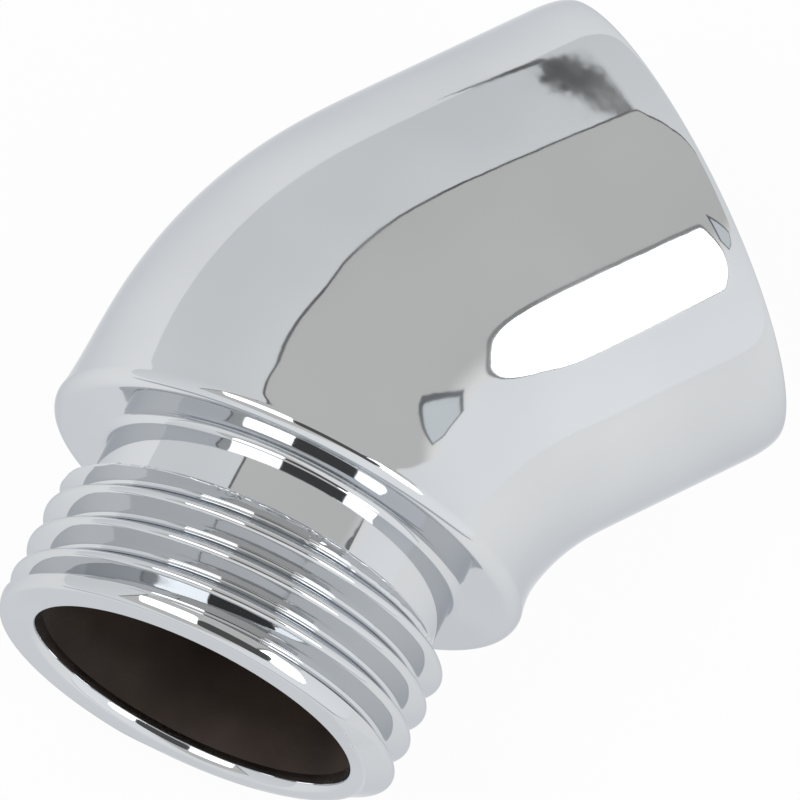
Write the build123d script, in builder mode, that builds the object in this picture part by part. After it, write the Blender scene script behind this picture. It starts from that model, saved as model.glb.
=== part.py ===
"""Angled shower hose adapter: a chromed brass elbow with a half-inch parallel pipe thread at each end.

One end is a socket that screws onto the outlet of a valve or a wall bend. The other end is a
threaded nose that takes the nut of a shower hose. A rubber washer sits in the bottom of the socket.

The origin is the centre of the socket's mouth. The socket faces +X, the elbow bends in the XY plane,
and +Z is up as the elbow lies on its side. Lengths are in millimetres and angles in degrees.
"""
import os
from math import ceil, cos, radians, sin, tan

from build123d import *

os.makedirs("parts", exist_ok=True)

# Half-inch parallel pipe thread, 55 degree form, used at both ends
thread_d = 20.955
thread_pitch = 1.814
thread_depth = 1.162
thread_flank_angle = 27.5
thread_root_flat = 0.2
thread_crest_round = 0.12

# Elbow body
body_d = 24.6
bend_angle = 37.0
bend_inner_round = 0.3
throat_round = 10.0
socket_barrel_length = 13.1
shoulder_barrel_length = 4.5
shoulder_d = 25.1
shoulder_edge_round = 0.7
mouth_roll_length = 1.8
mouth_roll_drop = 0.4

# Threaded nose
nose_length = 10.3
neck_length = 2.85
neck_d = 18.5
neck_root_round = 0.45
thread_runout = 0.5
rim_roll_length = 0.9
rim_roll_drop = 0.35
bore_edge_round = 0.7
waterway_d = 15.8

# Socket
socket_thread_length = 8.2
socket_lead_in = 0.5
relief_length = 2.6
relief_clearance = 0.15

# Sealing washer, caught behind the socket's thread
washer_thickness = 2.0
washer_side_clearance = 0.93
washer_hole_d = 12.5
washer_edge_round = 0.25

# Values that follow from the dimensions above
thread_r = thread_d / 2
thread_core_r = thread_r - thread_depth
body_r = body_d / 2
bend_radius = body_r + bend_inner_round
throat_radius = body_r + throat_round
shoulder_r = shoulder_d / 2
neck_r = neck_d / 2
waterway_r = waterway_d / 2
bore_edge_limit = (thread_core_r - waterway_r) / 2  # half of the wall inside the thread
relief_r = thread_r + relief_clearance
relief_slope = relief_r - thread_core_r
washer_r = relief_r - washer_side_clearance
seat_x = -(socket_thread_length + relief_length)

nose_dir = Vector(-cos(radians(bend_angle)), -sin(radians(bend_angle)), 0)
bend_start = Vector(-socket_barrel_length, 0, 0)
bend_centre = bend_start + Vector(0, -bend_radius, 0)
bend_end = bend_centre + Vector(-sin(radians(bend_angle)), cos(radians(bend_angle)), 0) * bend_radius
throat_reach = (throat_radius - bend_radius) * tan(radians(bend_angle / 2))
throat_start = bend_start + Vector(throat_reach, 0, 0)
throat_centre = throat_start + Vector(0, -throat_radius, 0)
shoulder_centre = bend_end + nose_dir * shoulder_barrel_length
nose_face_centre = shoulder_centre + nose_dir * nose_length

# Half sections are drawn in these planes, along the axis in local X and out from it in local Y
socket_plane = Plane.XY
nose_plane = Plane(origin=shoulder_centre, x_dir=nose_dir, z_dir=(0, 0, 1))
nose_axis = Axis(shoulder_centre, nose_dir)
bend_axis = Axis(bend_centre, (0, 0, 1))
throat_axis = Axis(throat_centre, (0, 0, 1))

# Tool that cuts one turn of the hose thread, a helical groove that starts in the neck
groove_start = neck_length - 0.85 * thread_pitch
groove_turns = ceil((nose_length - groove_start) / thread_pitch) + 1
groove_root_half = thread_root_flat / 2
groove_knee_depth = thread_depth - thread_crest_round
groove_knee_half = groove_root_half + groove_knee_depth * tan(radians(thread_flank_angle))
groove_mouth_half = min(groove_knee_half + thread_crest_round, 0.48 * thread_pitch)
groove_reach = thread_depth + thread_crest_round
groove_centre = shoulder_centre + nose_dir * groove_start

with BuildPart() as thread_turn:
    with BuildLine() as turn_line:
        Helix(thread_pitch, thread_pitch, thread_core_r, center=groove_centre, direction=nose_dir)
    turn_foot = turn_line.line @ 0
    turn_out = (turn_foot - groove_centre).normalized()
    with BuildSketch(Plane(origin=turn_foot, x_dir=turn_out, z_dir=turn_line.line % 0)):
        with BuildLine():
            Polyline(
                (0, -groove_root_half),
                (groove_knee_depth, -groove_knee_half),
                (thread_depth, -groove_mouth_half),
                (groove_reach, -groove_mouth_half),
                (groove_reach, groove_mouth_half),
                (thread_depth, groove_mouth_half),
                (groove_knee_depth, groove_knee_half),
                (0, groove_root_half),
                close=True,
            )
        make_face()
    sweep(path=turn_line.line, is_frenet=True)

# Elbow: socket barrel, bend, shoulder barrel and nose in one casting
with BuildPart() as elbow_body:
    with BuildSketch(socket_plane):
        with BuildLine():
            roll_centre = (-mouth_roll_length, body_r - mouth_roll_drop)
            mouth_roll = EllipticalCenterArc(roll_centre, mouth_roll_length, mouth_roll_drop, arc_size=90)
            flank = Line(mouth_roll @ 1, (-socket_barrel_length, body_r))
            Polyline(flank @ 1, (-socket_barrel_length, 0), (0, 0), mouth_roll @ 0)
        make_face()
    revolve(axis=Axis.X)

    with BuildSketch(Plane(origin=bend_start, x_dir=(0, 1, 0), z_dir=(-1, 0, 0))):
        Circle(body_r)
    revolve(axis=bend_axis, revolution_arc=bend_angle)

    # Throat: the inside of the bend, which is rounded more than its outside
    with BuildSketch(Plane(origin=throat_start, x_dir=(0, 1, 0), z_dir=(-1, 0, 0))):
        Circle(body_r)
    revolve(axis=throat_axis, revolution_arc=bend_angle)

    with BuildSketch(nose_plane):
        with BuildLine():
            barrel_start = (-shoulder_barrel_length, body_r)
            barrel = TangentArc(barrel_start, (-shoulder_edge_round, shoulder_r), tangent=(1, 0))
            edge = RadiusArc(barrel @ 1, (0, shoulder_r - shoulder_edge_round), shoulder_edge_round)
            face = Line(edge @ 1, (0, neck_r + neck_root_round))
            root = RadiusArc(face @ 1, (neck_root_round, neck_r), -neck_root_round)
            neck = Line(root @ 1, (neck_length, neck_r))
            runout = Line(neck @ 1, (neck_length + thread_runout, thread_r))
            rim_centre = (nose_length - rim_roll_length, thread_r - rim_roll_drop)
            rim = EllipticalCenterArc(rim_centre, rim_roll_length, rim_roll_drop, arc_size=90)
            Line(runout @ 1, rim @ 1)
            Polyline(rim @ 0, (nose_length, 0), (-shoulder_barrel_length, 0), barrel_start)
        make_face()
    revolve(axis=nose_axis)

    for turn in range(groove_turns):
        with Locations(nose_dir * (turn * thread_pitch)):
            add(thread_turn.part, mode=Mode.SUBTRACT)

    # Waterway, from the nose's face around the bend to the socket's seat
    with BuildLine() as waterway_line:
        nose_run = Line(nose_face_centre, bend_end)
        bend_run = RadiusArc(bend_end, bend_start, bend_radius)
        socket_run = Line(bend_start, (seat_x, 0))
    with BuildSketch(Plane(origin=nose_face_centre, x_dir=(0, 0, 1), z_dir=-nose_dir)):
        Circle(waterway_r)
    sweep(path=waterway_line.line, mode=Mode.SUBTRACT)
    bore_edge = elbow_body.edges().filter_by(GeomType.CIRCLE).sort_by_distance(nose_face_centre)[0]
    fillet(bore_edge, min(bore_edge_round, bore_edge_limit))

    # Socket: lead-in, wall at the thread's core, relief and flat washer seat
    with BuildSketch(socket_plane):
        with BuildLine():
            Polyline(
                (0, 0),
                (0, thread_core_r + socket_lead_in),
                (-socket_lead_in, thread_core_r),
                (-socket_thread_length, thread_core_r),
                (-socket_thread_length - relief_slope, relief_r),
                (seat_x, relief_r),
                (seat_x, 0),
                close=True,
            )
        make_face()
    revolve(axis=Axis.X, mode=Mode.SUBTRACT)

elbow_body.part.label = "elbow_body"
export_step(elbow_body.part, "parts/elbow_body.step")

# Rubber washer, flat against the seat
with BuildPart() as sealing_washer:
    with BuildSketch(Plane(origin=(seat_x, 0, 0), x_dir=(0, 1, 0), z_dir=(1, 0, 0))):
        Circle(washer_r)
        Circle(washer_hole_d / 2, mode=Mode.SUBTRACT)
    extrude(amount=washer_thickness)
    fillet(sealing_washer.edges().filter_by(GeomType.CIRCLE), washer_edge_round)

sealing_washer.part.label = "sealing_washer"
export_step(sealing_washer.part, "parts/sealing_washer.step")
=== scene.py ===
"""Looks of the shower hose elbow adapter: chromed elbow, waterway in brass painted near-black as painted
shade, threaded socket and rubber washer.

Sizes are in millimetres until a mesh is made, and the frame is the CAD part's own: the socket's mouth is
centred on the origin and faces +X, the elbow bends in the XY plane, and +Z is up.
"""
from math import cos, pi, radians, sin, sqrt, tan

import bpy
import numpy as np
from mathutils import Matrix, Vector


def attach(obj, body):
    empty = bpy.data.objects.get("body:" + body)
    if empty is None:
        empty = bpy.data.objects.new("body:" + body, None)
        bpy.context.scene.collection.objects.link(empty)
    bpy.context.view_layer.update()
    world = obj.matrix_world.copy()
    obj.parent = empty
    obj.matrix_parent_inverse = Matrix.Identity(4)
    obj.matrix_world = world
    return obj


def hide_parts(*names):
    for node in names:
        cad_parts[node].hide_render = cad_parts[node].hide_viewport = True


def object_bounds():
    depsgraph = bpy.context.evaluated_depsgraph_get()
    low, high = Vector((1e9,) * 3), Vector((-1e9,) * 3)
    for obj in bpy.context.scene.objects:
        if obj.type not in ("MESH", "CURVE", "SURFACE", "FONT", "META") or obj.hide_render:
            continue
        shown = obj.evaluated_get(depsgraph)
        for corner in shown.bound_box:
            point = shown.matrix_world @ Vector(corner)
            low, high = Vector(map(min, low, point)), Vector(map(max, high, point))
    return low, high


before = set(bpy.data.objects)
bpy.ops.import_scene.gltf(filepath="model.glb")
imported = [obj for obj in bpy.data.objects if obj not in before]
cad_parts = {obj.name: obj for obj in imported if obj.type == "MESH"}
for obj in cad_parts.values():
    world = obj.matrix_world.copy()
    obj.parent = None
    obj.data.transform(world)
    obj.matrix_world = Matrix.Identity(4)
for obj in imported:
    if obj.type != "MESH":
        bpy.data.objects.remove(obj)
cad_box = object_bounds()

MM = 0.001

# Half-inch parallel pipe thread with round crests and roots, at both ends
THREAD_R = 10.4775
PITCH = 1.814
THREAD_DEPTH = 1.162
FLANK = radians(27.5)
FORM_R = 0.249
CORE_R = THREAD_R - THREAD_DEPTH

# Elbow body. A roll is an elliptical edge, as long along the axis and as deep across it as its two sizes say
BODY_R = 12.3
BEND = radians(37.0)
BEND_RADIUS = 12.6
THROAT_ROUND = 10.0
THROAT_BLEND = 0.9
SOCKET_BARREL = 13.1
SHOULDER_BARREL = 4.5
SHOULDER_R = 12.55
SHOULDER_EDGE = 0.7
FLARE_RADIUS = 14.0
MOUTH_ROLL = (1.8, 0.4)

# Threaded nose and waterway
NOSE = 10.3
NECK = 2.85
NECK_R = 9.25
NECK_ROOT = 0.45
NECK_SEAM = NECK - 0.3
RUNOUT = 0.5
RIM_ROLL = (0.9, 0.35)
BORE_ROLL = (0.8, 0.3)
BORE_R = 8.3
WATER_R = 7.9
GROOVE_START = NECK - 0.85 * PITCH
CHROME_REACH = 0.85
BORE_TAPER = 3 * CHROME_REACH

# Unbroken land between the last groove and the rim. It fades in and out at these degrees around the nose
RIM_LAND = 0.5
RIM_WHOLE = (25.0, 65.0, 200.0, 260.0)

# Burr where the thread's cut starts in the neck
BURR = 0.12
BURR_AT = NECK + 0.25
BURR_WIDTH = 0.12
BURR_SEED = 7

# Socket and washer
SOCKET_THREAD = 8.2
LEAD_IN = 0.5
SEAT = 10.8
SEAT_CORNER = 0.15
RELIEF_R = 10.6275
RELIEF_END = SOCKET_THREAD + 1.35
WASHER_R = 9.6975
WASHER_HOLE_R = 6.25
WASHER_THICKNESS = 2.0
WASHER_EDGE = 0.3
WASHER_HOLLOW = 0.05

# Fineness of the meshes: points around each piece, steps along the threads and rings in each stretch
BODY_POINTS = 384
WATERWAY_POINTS = 160
SOCKET_POINTS = 320
WASHER_POINTS = 192
NOSE_STEP = 0.045
SOCKET_STEP = 0.05
RINGS = {
    "mouth_face": 8, "mouth_roll": 24, "barrel": 40, "bend": 72, "shoulder_barrel": 22,
    "shoulder_edge": 14, "shoulder_face": 8, "neck_root": 12, "neck": 8,
    "rim_roll": 40, "rim_face": 6, "bore_roll": 24,
    "nose_bore": 24, "bend_bore": 26, "socket_bore": 6, "seat": 8, "relief": 6,
    "washer_corner": 8, "washer_front": 12, "washer_back": 8, "washer_side": 6,
}
BODY_SMOOTHING = 5
THROAT_SEARCH = 2.0
THROAT_HALVINGS = 40
LEAST_BLEND = 1e-6

# Range of the noise that tones and roughness are spread over, and how much finer the roughness is
NOISE_RANGE = (0.3, 0.7)
ROUGHNESS_GRAIN = 2.5
BUMP_DETAIL = 4.0

# Camera of the photograph
CAMERA_PLACE = (-109.184, -131.826, 423.107)
CAMERA_RIGHT = (0.882865, -0.466842, 0.051075)
CAMERA_UP = (0.422249, 0.836692, 0.348787)
CAMERA_AWAY = (0.205562, 0.286366, -0.935809)
CAMERA_LENS = 416.327
CAMERA_SENSOR = 36.0
CAMERA_CLIP = (0.01, 10.0)

# White table, half its width in metres, and light tent with its strength at -Y and at +Y
FLOOR_HALF = 1.5
FLOOR_COLOUR = (0.9, 0.9, 0.9)
FLOOR_WHITE = 0.94
TENT_COLOUR = (0.97, 0.985, 1.0)
TENT_STRENGTH = (1.08, 0.82)

# Level studio panels that the chrome mirrors, as outlines in X and Y. Lower panels cover higher ones
PANEL_Z = 120.0
CEILING_EDGE = [
    (-220, 66), (-40, 70), (-14, 74), (-6, 84), (6, 91), (14, 94),
    (22, 94), (30, 84), (42, 66), (70, 44), (150, 20),
]
CEILING_FRONT = -100
CEILING_FADE = (-62, -96, 1.0)
CEILING_LINE = 4
SOFTBOX = [
    (-14, -62), (27, -52), (42, -72), (60, -100), (64, -130),
    (54, -160), (42, -182), (8, -186), (-26, -132),
]
SOFTBOX_FRAME = 1.07
WINDOW = [(45, -46), (58, -83), (79, -103), (96, -98), (107, -82)]
WINDOW_PANE = 0.84
SOFTBOX_STRENGTH = 3.0
CORNER_CUT = 0.25
CORNER_POINTS = 9

# Thin lamp stand behind the elbow, as an outline in X and Z
STAND = [
    (23, -2), (30, 11), (32, 27), (35, 61), (42, 112), (51, 163), (60, 205),
    (58, 205), (49, 165), (40, 115), (34, 78), (31, 50), (30, 20),
]
STAND_Y = 150.0

# Low card in front of the nose
LOW_CARD_NEAR = 95
LOW_CARD_FAR = 300
LOW_CARD_HALF = 160
LOW_CARD_Z = -12.0

# Colours of the panels
WHITE = (1.0, 1.0, 1.0)
WARM_WHITE = (1.0, 0.985, 0.965)
FRAME_BLUE = (0.9, 0.95, 1.0)
PANE_BLUE = (0.92, 0.97, 1.0)
CARD_BLUE = (0.84, 0.93, 1.0)

# Values that follow from the sizes above
UP = np.array([0.0, 0.0, 1.0])
BEND_CENTRE = np.array([-SOCKET_BARREL, -BEND_RADIUS, 0.0])
NOSE_DIR = np.array([-cos(BEND), -sin(BEND), 0.0])
NOSE_SIDE = np.array([-NOSE_DIR[1], NOSE_DIR[0], 0.0])
BEND_END = BEND_CENTRE + BEND_RADIUS * np.array([-sin(BEND), cos(BEND), 0.0])
SHOULDER_CENTRE = BEND_END + SHOULDER_BARREL * NOSE_DIR
THROAT_RADIUS = BODY_R + THROAT_ROUND
THROAT_START = SOCKET_BARREL - (THROAT_RADIUS - BEND_RADIUS) * tan(BEND / 2)
THROAT_CENTRE = np.array([-THROAT_START, -THROAT_RADIUS, 0.0])
THROAT_END = SOCKET_BARREL - THROAT_START - SHOULDER_BARREL
FLARE_RISE = SHOULDER_R - BODY_R
FLARE_LENGTH = sqrt(2 * FLARE_RADIUS * FLARE_RISE - FLARE_RISE**2)
RELIEF_SLOPE = RELIEF_R - CORE_R


def turn(count):
    """Angles around a section. They start on the inside of the bend and go towards the top."""
    return np.arange(count) * 2 * pi / count


def section(centre, angle, radii, around):
    """One ring of points in the plane that stands across the elbow at that bend angle."""
    inward = np.array([sin(angle), -cos(angle), 0.0])
    radii = np.broadcast_to(radii, around.shape)
    return centre + (radii * np.cos(around))[:, None] * inward + (radii * np.sin(around))[:, None] * UP


def in_socket(depth, radii, around):
    """A ring across the socket, at that depth from its mouth."""
    return section(np.array([-depth, 0.0, 0.0]), 0.0, radii, around)


def in_nose(along, radii, around):
    """A ring across the nose, at that distance from the shoulder's face."""
    return section(SHOULDER_CENTRE + along * NOSE_DIR, BEND, radii, around)


def on_bend(angle, radii, around, centre=BEND_CENTRE, radius=BEND_RADIUS):
    """A ring across the bend, at that angle from the socket's barrel."""
    middle = centre + radius * np.array([-sin(angle), cos(angle), 0.0])
    return section(middle, angle, radii, around)


def arc(centre, radius, start, stop, count):
    """Points (along, radius) on a rounded edge of a half section. Angles in degrees, 0 along the axis."""
    angles = np.radians(np.linspace(start, stop, count))
    along, across = np.broadcast_to(radius, 2)
    return list(zip(centre[0] + along * np.cos(angles), centre[1] + across * np.sin(angles)))


def flare(along):
    """Radius of the shoulder barrel, which widens towards the shoulder."""
    run = np.clip(along + SHOULDER_EDGE + FLARE_LENGTH, 0.0, FLARE_LENGTH)
    return BODY_R + FLARE_RADIUS - np.sqrt(FLARE_RADIUS**2 - run**2)


def outside(points):
    """Signed distance from the body's plain outside, without the soft throat."""
    across = np.hypot(points[:, 1], points[:, 2]) - BODY_R
    from_bend = points - BEND_CENTRE
    angle = np.arctan2(-from_bend[:, 0], from_bend[:, 1])
    tube = np.hypot(np.hypot(from_bend[:, 0], from_bend[:, 1]) - BEND_RADIUS, from_bend[:, 2]) - BODY_R
    from_nose = points - SHOULDER_CENTRE
    along = from_nose @ NOSE_DIR
    barrel = np.linalg.norm(from_nose - along[:, None] * NOSE_DIR, axis=1) - flare(along)
    return np.where(angle < 0, across, np.where(angle > BEND, barrel, tube))


def throat_radii(angle, around):
    """Radii of a section of the bend, whose inside is rounded more than its outside."""
    low = np.full(around.shape, BODY_R - THROAT_SEARCH)
    high = np.full(around.shape, BODY_R + THROAT_SEARCH)
    for _ in range(THROAT_HALVINGS):
        middle = (low + high) / 2
        out = outside(on_bend(angle, middle, around, THROAT_CENTRE, THROAT_RADIUS)) > 0
        low, high = np.where(out, low, middle), np.where(out, middle, high)
    blend = THROAT_BLEND * (BODY_R - low[0])
    if blend < LEAST_BLEND:
        return low
    share = np.clip(0.5 + (low - BODY_R) / (2 * blend), 0.0, 1.0)
    return BODY_R + (low - BODY_R) * share + blend * share * (1 - share)


def thread_form(offset):
    """Height of the thread above its root, by distance along the axis from a groove's middle."""
    from_root = np.abs((offset + PITCH / 2) % PITCH - PITCH / 2)
    from_crest = PITCH / 2 - from_root
    root = FORM_R - np.sqrt(np.maximum(FORM_R**2 - from_root**2, 0.0))
    crest = THREAD_DEPTH - FORM_R + np.sqrt(np.maximum(FORM_R**2 - from_crest**2, 0.0))
    side = THREAD_DEPTH / 2 + (from_root - PITCH / 4) / tan(FLANK)
    reach = FORM_R * cos(FLANK)
    return np.where(from_root < reach, root, np.where(from_crest < reach, crest, side))


def smoothed(rings, reach):
    """Rings evened out along the elbow, so that the curves run gently into the straights."""
    points = np.array(rings)
    tail = 3 * reach
    weights = np.exp(-0.5 * (np.arange(-tail, tail + 1) / reach) ** 2)
    before = 2 * points[0] - points[tail:0:-1]
    after = 2 * points[-1] - points[-2:-tail - 2:-1]
    padded = np.concatenate([before, points, after])
    windows = [padded[i:i + len(weights)] for i in range(len(points))]
    return [np.tensordot(weights / weights.sum(), window, axes=1) for window in windows]


def skin(name, rings, material, closed=False):
    """A smooth mesh over rings of points, each ring with the same number of points."""
    points = np.array(rings) * MM
    rows, count = points.shape[:2]
    last = rows if closed else rows - 1
    here = np.arange(last)[:, None] * count
    ahead = (np.arange(last)[:, None] + 1) % rows * count
    left = np.arange(count)[None, :]
    right = (left + 1) % count
    faces = np.stack([here + left, here + right, ahead + right, ahead + left], axis=-1).reshape(-1, 4)
    mesh = bpy.data.meshes.new(name)
    mesh.from_pydata(points.reshape(-1, 3).tolist(), [], faces.tolist())
    mesh.shade_smooth()
    mesh.materials.append(material)
    piece = bpy.data.objects.new(name, mesh)
    bpy.context.scene.collection.objects.link(piece)
    return piece


def barrel_rings(around):
    """Outside of the elbow, from the socket's mouth round the bend to the neck behind the hose thread."""
    roll, drop = MOUTH_ROLL
    mouth = [(0.0, r) for r in np.linspace(CORE_R + LEAD_IN, BODY_R - drop, RINGS["mouth_face"])[:-1]]
    mouth += arc((roll, BODY_R - drop), MOUTH_ROLL, 180, 90, RINGS["mouth_roll"])[:-1]
    depths = np.linspace(roll, THROAT_START, RINGS["barrel"])[:-1]
    body = [in_socket(depth, BODY_R, around) for depth in depths]
    for angle in np.linspace(0, BEND, RINGS["bend"]):
        body.append(on_bend(angle, throat_radii(angle, around), around, THROAT_CENTRE, THROAT_RADIUS))
    reaches = np.linspace(THROAT_END, -SHOULDER_EDGE, RINGS["shoulder_barrel"])[1:]
    body += [in_nose(along, flare(along), around) for along in reaches]
    face_r, root_r = SHOULDER_R - SHOULDER_EDGE, NECK_R + NECK_ROOT
    end = arc((-SHOULDER_EDGE, face_r), SHOULDER_EDGE, 90, 0, RINGS["shoulder_edge"])[1:]
    end += [(0.0, r) for r in np.linspace(face_r, root_r, RINGS["shoulder_face"])[1:-1]]
    end += arc((NECK_ROOT, root_r), NECK_ROOT, 180, 270, RINGS["neck_root"])
    end += [(along, NECK_R) for along in np.linspace(NECK_ROOT, NECK_SEAM, RINGS["neck"])[1:]]
    rings = [in_socket(depth, r, around) for depth, r in mouth] + smoothed(body, BODY_SMOOTHING)
    return rings + [in_nose(along, r, around) for along, r in end]


def burr(around):
    """Heights of the fine burr where the thread's cut starts in the neck."""
    rough = np.random.default_rng(BURR_SEED).normal(size=around.size)
    return BURR * np.clip(rough + np.roll(rough, 1), 0.0, 1.0)


def nose_outline():
    """Half section of the nose before its thread is cut, from the neck over the rim into the bore."""
    roll, drop = RIM_ROLL
    outline = []
    for along in np.arange(NECK_SEAM, NOSE - roll, NOSE_STEP):
        outline.append((along, np.interp(along, [NECK, NECK + RUNOUT], [NECK_R, THREAD_R])))
    outline += arc((NOSE - roll, THREAD_R - drop), RIM_ROLL, 90, 0, RINGS["rim_roll"])
    depth, lip = BORE_ROLL
    outline += [(NOSE, r) for r in np.linspace(THREAD_R - drop, BORE_R + lip, RINGS["rim_face"])[1:-1]]
    outline += arc((NOSE - depth, BORE_R + lip), BORE_ROLL, 0, -90, RINGS["bore_roll"])
    outline.append((NOSE - CHROME_REACH, BORE_R))
    return outline


def nose_rings(around):
    """The hose thread, its run-out, the rounded rim and the first of the bore."""
    twist = GROOVE_START + PITCH * around / (2 * pi)
    whole = np.interp(np.degrees(around), RIM_WHOLE, [0.0, 1.0, 1.0, 0.0])
    ragged = burr(around)
    rings = []
    for along, r in nose_outline():
        land = whole * np.interp(along, [NOSE - 2 * RIM_LAND, NOSE - RIM_LAND], [0.0, THREAD_DEPTH])
        height = np.minimum(r, CORE_R + thread_form(along - twist) + land)
        height = height + ragged * np.exp(-(((along - BURR_AT) / BURR_WIDTH) ** 2))
        rings.append(in_nose(along, height, around))
    return rings


def waterway_rings(around):
    """The waterway, from just inside the nose round the bend to the washer's seat."""
    rings = []
    for along in np.linspace(NOSE - CHROME_REACH, -SHOULDER_BARREL, RINGS["nose_bore"]):
        radius = np.interp(along, [NOSE - BORE_TAPER, NOSE - CHROME_REACH], [WATER_R, BORE_R])
        rings.append(in_nose(along, radius, around))
    angles = np.linspace(BEND, 0, RINGS["bend_bore"])[1:-1]
    rings += [on_bend(angle, WATER_R, around) for angle in angles]
    depths = np.linspace(SOCKET_BARREL, SEAT, RINGS["socket_bore"])
    rings += [in_socket(depth, WATER_R, around) for depth in depths]
    return rings


def socket_rings(around):
    """Inside of the socket: washer seat, relief, thread and lead-in."""
    radii = np.linspace(WATER_R, RELIEF_R - SEAT_CORNER, RINGS["seat"])
    rings = [in_socket(SEAT, r, around) for r in radii]
    depths = np.linspace(SEAT - SEAT_CORNER, RELIEF_END, RINGS["relief"])
    rings += [in_socket(depth, RELIEF_R, around) for depth in depths]
    twist = PITCH * around / (2 * pi)
    for depth in np.arange(SOCKET_THREAD + RELIEF_SLOPE, 0.0, -SOCKET_STEP):
        envelope = np.interp(
            depth,
            [0.0, LEAD_IN, SOCKET_THREAD, SOCKET_THREAD + RELIEF_SLOPE],
            [CORE_R + LEAD_IN, CORE_R, CORE_R, RELIEF_R],
        )
        cut = THREAD_R - thread_form(depth + twist)
        rings.append(in_socket(depth, np.maximum(envelope, cut), around))
    rings.append(in_socket(0.0, CORE_R + LEAD_IN, around))
    return rings


def washer_rings(around):
    """Rubber washer: a ring with rounded edges and a slightly hollow front, flat against the seat."""
    back, front = SEAT, SEAT - WASHER_THICKNESS
    edge, corner = WASHER_EDGE, RINGS["washer_corner"]
    inner, outer = WASHER_HOLE_R + edge, WASHER_R - edge
    sides = np.linspace(front + edge, back - edge, RINGS["washer_side"])[1:-1]
    loop = arc((front + edge, inner), edge, 270, 180, corner)
    loop += [(front + WASHER_HOLLOW, r) for r in np.linspace(inner, outer, RINGS["washer_front"])[1:-1]]
    loop += arc((front + edge, outer), edge, 180, 90, corner)
    loop += [(depth, WASHER_R) for depth in sides]
    loop += arc((back - edge, outer), edge, 90, 0, corner)
    loop += [(back, r) for r in np.linspace(outer, inner, RINGS["washer_back"])[1:-1]]
    loop += arc((back - edge, inner), edge, 360, 270, corner)
    loop += [(depth, WASHER_HOLE_R) for depth in sides[::-1]]
    return [in_socket(depth, r, around) for depth, r in loop]


def new_material(name):
    """A material with nodes, and its nodes and links."""
    material = bpy.data.materials.new(name)
    material.use_nodes = True
    return material, material.node_tree.nodes, material.node_tree.links


def noise(nodes, links, scale, detail=2.0):
    """Noise fixed to the object, in features to the metre."""
    coords = nodes.new("ShaderNodeTexCoord")
    texture = nodes.new("ShaderNodeTexNoise")
    texture.inputs["Scale"].default_value = scale
    texture.inputs["Detail"].default_value = detail
    links.new(coords.outputs["Object"], texture.inputs["Vector"])
    return texture.outputs["Fac"]


def ramp(nodes, links, factor, dark, pale):
    """Colour that drifts between two tones."""
    tones = nodes.new("ShaderNodeValToRGB")
    for element, position, colour in zip(tones.color_ramp.elements, NOISE_RANGE, (dark, pale)):
        element.position = position
        element.color = (*colour, 1.0)
    links.new(factor, tones.inputs["Fac"])
    return tones.outputs["Color"]


def spread(nodes, links, factor, low, high):
    """Number that drifts between two values."""
    numbers = nodes.new("ShaderNodeMapRange")
    numbers.inputs["From Min"].default_value = NOISE_RANGE[0]
    numbers.inputs["From Max"].default_value = NOISE_RANGE[1]
    numbers.inputs["To Min"].default_value = low
    numbers.inputs["To Max"].default_value = high
    links.new(factor, numbers.inputs["Value"])
    return numbers.outputs["Result"]


def surface(name, tones, roughness, metallic, edge, grain, bump):
    """A material with drifting tone and roughness, a tone at glancing angles and a fine uneven surface.

    The bump is its strength, its depth in metres and its features to the metre.
    """
    material, nodes, links = new_material(name)
    shader = nodes["Principled BSDF"]
    shader.inputs["Metallic"].default_value = metallic
    shader.inputs["Specular Tint"].default_value = (*edge, 1.0)
    tone = ramp(nodes, links, noise(nodes, links, grain), *tones)
    links.new(tone, shader.inputs["Base Color"])
    dulling = spread(nodes, links, noise(nodes, links, grain * ROUGHNESS_GRAIN), *roughness)
    links.new(dulling, shader.inputs["Roughness"])
    strength, depth, features = bump
    uneven = nodes.new("ShaderNodeBump")
    uneven.inputs["Strength"].default_value = strength
    uneven.inputs["Distance"].default_value = depth
    links.new(noise(nodes, links, features, BUMP_DETAIL), uneven.inputs["Height"])
    links.new(uneven.outputs["Normal"], shader.inputs["Normal"])
    return material


def glow(name, colour, strength, fade=None):
    """Material of a studio panel. A fade is (start, stop, strength) along Y, from its own strength."""
    material, nodes, links = new_material(name)
    nodes.remove(nodes["Principled BSDF"])
    light = nodes.new("ShaderNodeEmission")
    light.inputs["Color"].default_value = (*colour, 1.0)
    light.inputs["Strength"].default_value = strength
    if fade:
        start, stop, far_strength = fade
        coords = nodes.new("ShaderNodeTexCoord")
        split = nodes.new("ShaderNodeSeparateXYZ")
        change = nodes.new("ShaderNodeMapRange")
        change.interpolation_type = "SMOOTHSTEP"
        change.inputs["From Min"].default_value = start * MM
        change.inputs["From Max"].default_value = stop * MM
        change.inputs["To Min"].default_value = strength
        change.inputs["To Max"].default_value = far_strength
        links.new(coords.outputs["Object"], split.inputs["Vector"])
        links.new(split.outputs["Y"], change.inputs["Value"])
        links.new(change.outputs["Result"], light.inputs["Strength"])
    links.new(light.outputs["Emission"], nodes["Material Output"].inputs["Surface"])
    return material


def level(outline, drop=0):
    """Points of a level panel, at the panels' height or lower by a drop."""
    return [(x, y, PANEL_Z - drop) for x, y in outline]


def softened(outline, rounds=3):
    """A closed outline with its corners cut, again and again, until they are round."""
    points = np.array(outline, float)
    keep = 1 - CORNER_CUT
    for _ in range(rounds):
        ahead = np.roll(points, -1, axis=0)
        cuts = [keep * points + CORNER_CUT * ahead, CORNER_CUT * points + keep * ahead]
        points = np.stack(cuts, axis=1).reshape(-1, 2)
    return points


def grown(outline, share):
    """An outline made larger or smaller about its middle."""
    middle = np.mean(outline, axis=0)
    return middle + share * (np.array(outline) - middle)


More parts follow.
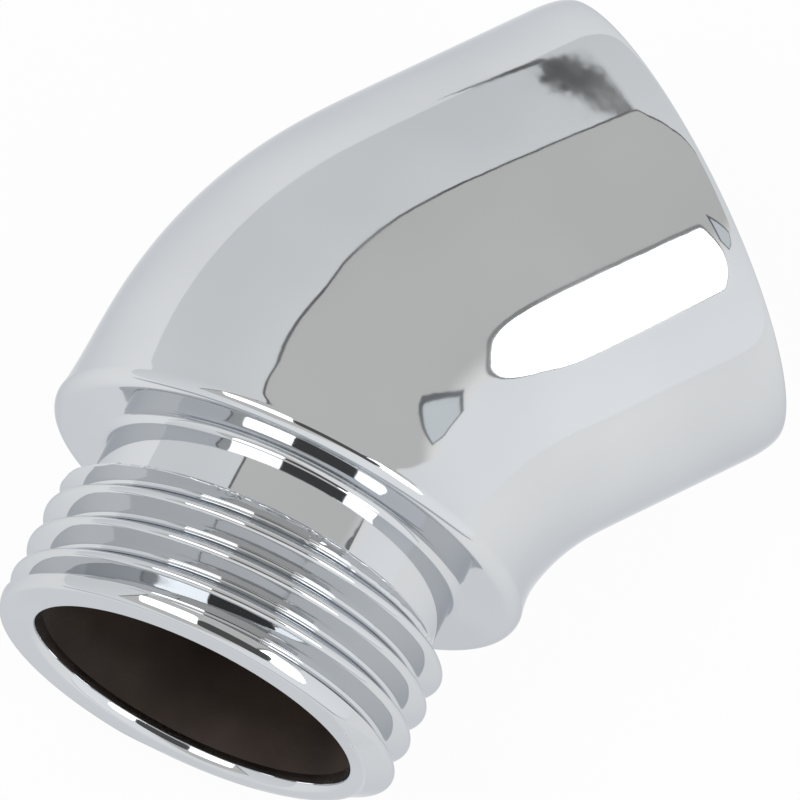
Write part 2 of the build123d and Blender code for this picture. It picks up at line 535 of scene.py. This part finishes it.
def rounded_box(centre, size, angle, corner):
    """Outline of a rectangle with round corners, turned by an angle in degrees."""
    points = []
    for sx, sy, start in ((1, 1, 0), (-1, 1, 90), (-1, -1, 180), (1, -1, 270)):
        for step in np.radians(start + np.linspace(0, 90, CORNER_POINTS)):
            x = sx * (size[0] / 2 - corner) + corner * cos(step)
            y = sy * (size[1] / 2 - corner) + corner * sin(step)
            points.append((x, y))
    c, s = cos(radians(angle)), sin(radians(angle))
    return [(centre[0] + c * x - s * y, centre[1] + s * x + c * y) for x, y in points]


def panel(name, points, colour, strength, fade=None):
    """A flat studio panel near the object, outside the camera's sight."""
    corners = [tuple(MM * float(v) for v in point) for point in points]
    mesh = bpy.data.meshes.new(name)
    mesh.from_pydata(corners, [], [list(range(len(corners)))])
    mesh.materials.append(glow(name, colour, strength, fade))
    card = bpy.data.objects.new(name, mesh)
    bpy.context.scene.collection.objects.link(card)
    card.visible_camera = False


def make_ceiling():
    """Grey ceiling, brighter towards the front, with a dark line along its far edge."""
    left, right = CEILING_EDGE[0][0], CEILING_EDGE[-1][0]
    ceiling = [(left, CEILING_FRONT), (right, CEILING_FRONT)] + CEILING_EDGE[::-1]
    line = CEILING_EDGE + [(x, y + CEILING_LINE) for x, y in CEILING_EDGE[::-1]]
    panel("ceiling", level(ceiling), WARM_WHITE, strength=0.65, fade=CEILING_FADE)
    panel("ceiling_edge", level(line), WHITE, strength=0.15)


def make_softboxes():
    """Two softboxes on either side of the dark place where the camera stands."""
    softbox = softened(SOFTBOX)
    softbox_frame = grown(softbox, SOFTBOX_FRAME)
    camera_place = rounded_box(centre=(-38, -54), size=(50, 94), angle=37, corner=12)
    far_softbox = rounded_box(centre=(-88, 20), size=(56, 84), angle=37, corner=8)
    panel("softbox", level(softbox, drop=3), WHITE, SOFTBOX_STRENGTH)
    panel("softbox_frame", level(softbox_frame, drop=2), WHITE, strength=0.3)
    panel("camera_place", level(camera_place, drop=4), WHITE, strength=0.1)
    panel("far_softbox", level(far_softbox, drop=2), WHITE, SOFTBOX_STRENGTH)


def make_small_panels():
    """Framed window, thin lamp stand behind the elbow and low card in front of the nose."""
    panel("window_frame", level(WINDOW, drop=4), FRAME_BLUE, strength=0.2)
    panel("window", level(grown(WINDOW, WINDOW_PANE), drop=5), PANE_BLUE, strength=0.8)
    panel("lamp_stand", [(x, STAND_Y, z) for x, z in STAND], WHITE, strength=0.12)
    corners = (
        (LOW_CARD_NEAR, -LOW_CARD_HALF),
        (LOW_CARD_FAR, -LOW_CARD_HALF),
        (LOW_CARD_FAR, LOW_CARD_HALF),
        (LOW_CARD_NEAR, LOW_CARD_HALF),
    )
    low_card = [NOSE_DIR * along + NOSE_SIDE * aside + UP * LOW_CARD_Z for along, aside in corners]
    panel("low_card", low_card, CARD_BLUE, strength=0.6)


def seen_share(nodes, links, share):
    """A share for what the eye, a mirror or glass sees, and none for the light that falls on the object."""
    path = nodes.new("ShaderNodeLightPath")
    total = path.outputs["Is Camera Ray"]
    for name in ("Is Glossy Ray", "Is Transmission Ray"):
        add = nodes.new("ShaderNodeMath")
        add.operation = "MAXIMUM"
        links.new(total, add.inputs[0])
        links.new(path.outputs[name], add.inputs[1])
        total = add.outputs[0]
    scale = nodes.new("ShaderNodeMath")
    scale.operation = "MULTIPLY"
    scale.inputs[1].default_value = share
    links.new(total, scale.inputs[0])
    return scale.outputs[0]


def make_floor():
    """White table under the elbow, which keeps a faint shadow."""
    ground = cad_box[0].z
    corners = [(FLOOR_HALF * x, FLOOR_HALF * y, ground) for x, y in ((-1, -1), (1, -1), (1, 1), (-1, 1))]
    mesh = bpy.data.meshes.new("floor")
    mesh.from_pydata(corners, [], [(0, 1, 2, 3)])
    material, nodes, links = new_material("floor_white")
    nodes.remove(nodes["Principled BSDF"])
    matte = nodes.new("ShaderNodeBsdfDiffuse")
    matte.inputs["Color"].default_value = (*FLOOR_COLOUR, 1.0)
    white = nodes.new("ShaderNodeEmission")
    mix = nodes.new("ShaderNodeMixShader")
    links.new(seen_share(nodes, links, FLOOR_WHITE), mix.inputs["Fac"])
    links.new(matte.outputs["BSDF"], mix.inputs[1])
    links.new(white.outputs["Emission"], mix.inputs[2])
    links.new(mix.outputs["Shader"], nodes["Material Output"].inputs["Surface"])
    mesh.materials.append(material)
    floor = bpy.data.objects.new("floor", mesh)
    bpy.context.scene.collection.objects.link(floor)


def make_world():
    """Pale light tent all round, brighter on the -Y side, and white to the eye."""
    world = bpy.data.worlds.new("tent")
    world.use_nodes = True
    nodes, links = world.node_tree.nodes, world.node_tree.links
    tent = nodes["Background"]
    tent.inputs["Color"].default_value = (*TENT_COLOUR, 1.0)
    coords = nodes.new("ShaderNodeTexCoord")
    split = nodes.new("ShaderNodeSeparateXYZ")
    side = nodes.new("ShaderNodeMapRange")
    side.inputs["From Min"].default_value = -1.0
    side.inputs["To Min"].default_value = TENT_STRENGTH[0]
    side.inputs["To Max"].default_value = TENT_STRENGTH[1]
    links.new(coords.outputs["Generated"], split.inputs["Vector"])
    links.new(split.outputs["Y"], side.inputs["Value"])
    links.new(side.outputs["Result"], tent.inputs["Strength"])
    white = nodes.new("ShaderNodeBackground")
    white.inputs["Color"].default_value = (*WHITE, 1.0)
    path = nodes.new("ShaderNodeLightPath")
    mix = nodes.new("ShaderNodeMixShader")
    links.new(path.outputs["Is Camera Ray"], mix.inputs["Fac"])
    links.new(tent.outputs["Background"], mix.inputs[1])
    links.new(white.outputs["Background"], mix.inputs[2])
    links.new(mix.outputs["Shader"], nodes["World Output"].inputs["Surface"])
    bpy.context.scene.world = world


def make_camera():
    """Camera at the photograph's viewing angle."""
    data = bpy.data.cameras.new("photo_camera")
    data.lens = CAMERA_LENS
    data.sensor_width = CAMERA_SENSOR
    data.clip_start, data.clip_end = CAMERA_CLIP
    camera = bpy.data.objects.new("photo_camera", data)
    axes = Matrix((CAMERA_RIGHT, CAMERA_UP, [-x for x in CAMERA_AWAY])).transposed().to_4x4()
    camera.matrix_world = Matrix.Translation([x * MM for x in CAMERA_PLACE]) @ axes
    bpy.context.scene.collection.objects.link(camera)
    bpy.context.scene.camera = camera


# Materials
chrome = surface(
    "chrome",
    tones=((0.62, 0.635, 0.65), (0.68, 0.695, 0.71)),
    roughness=(0.03, 0.07),
    metallic=1.0,
    edge=(0.72, 0.74, 0.77),
    grain=90.0,
    bump=(0.04, 0.0004, 130.0),
)
# Brass of the waterway, its tone darkened to near-black and made matte: painted shade for the deep, unlit
# inside of the bore
brass_painted_shade = surface(
    "brass_painted_shade",
    tones=((0.020, 0.014, 0.011), (0.055, 0.038, 0.030)),
    roughness=(0.55, 0.8),
    metallic=0.0,
    edge=(0.5, 0.5, 0.5),
    grain=160.0,
    bump=(0.2, 0.0002, 900.0),
)
dull_brass = surface(
    "dull_brass",
    tones=((0.36, 0.31, 0.23), (0.46, 0.41, 0.32)),
    roughness=(0.28, 0.42),
    metallic=1.0,
    edge=(0.9, 0.9, 0.9),
    grain=200.0,
    bump=(0.1, 0.0001, 700.0),
)
rubber = surface(
    "rubber",
    tones=((0.018, 0.018, 0.019), (0.034, 0.034, 0.035)),
    roughness=(0.55, 0.75),
    metallic=0.0,
    edge=(0.8, 0.8, 0.8),
    grain=500.0,
    bump=(0.3, 0.0001, 1500.0),
)

# Pieces of the elbow and the washer
barrel = skin("elbow_barrel", barrel_rings(turn(BODY_POINTS)), chrome)
nose = skin("hose_nose", nose_rings(turn(BODY_POINTS)), chrome)
# The waterway gets brass painted near-black, which is painted shade
waterway = skin("waterway_wall", waterway_rings(turn(WATERWAY_POINTS)), brass_painted_shade)
socket = skin("socket_wall", socket_rings(turn(SOCKET_POINTS)), dull_brass)
washer = skin("washer_ring", washer_rings(turn(WASHER_POINTS)), rubber, closed=True)

for piece in (barrel, nose, waterway, socket):
    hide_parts("elbow_body")
    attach(piece, "root")
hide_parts("sealing_washer")
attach(washer, "root")

# Studio
make_floor()
make_world()
make_ceiling()
make_softboxes()
make_small_panels()
make_camera()
bpy.context.scene.view_settings.view_transform = "Standard"
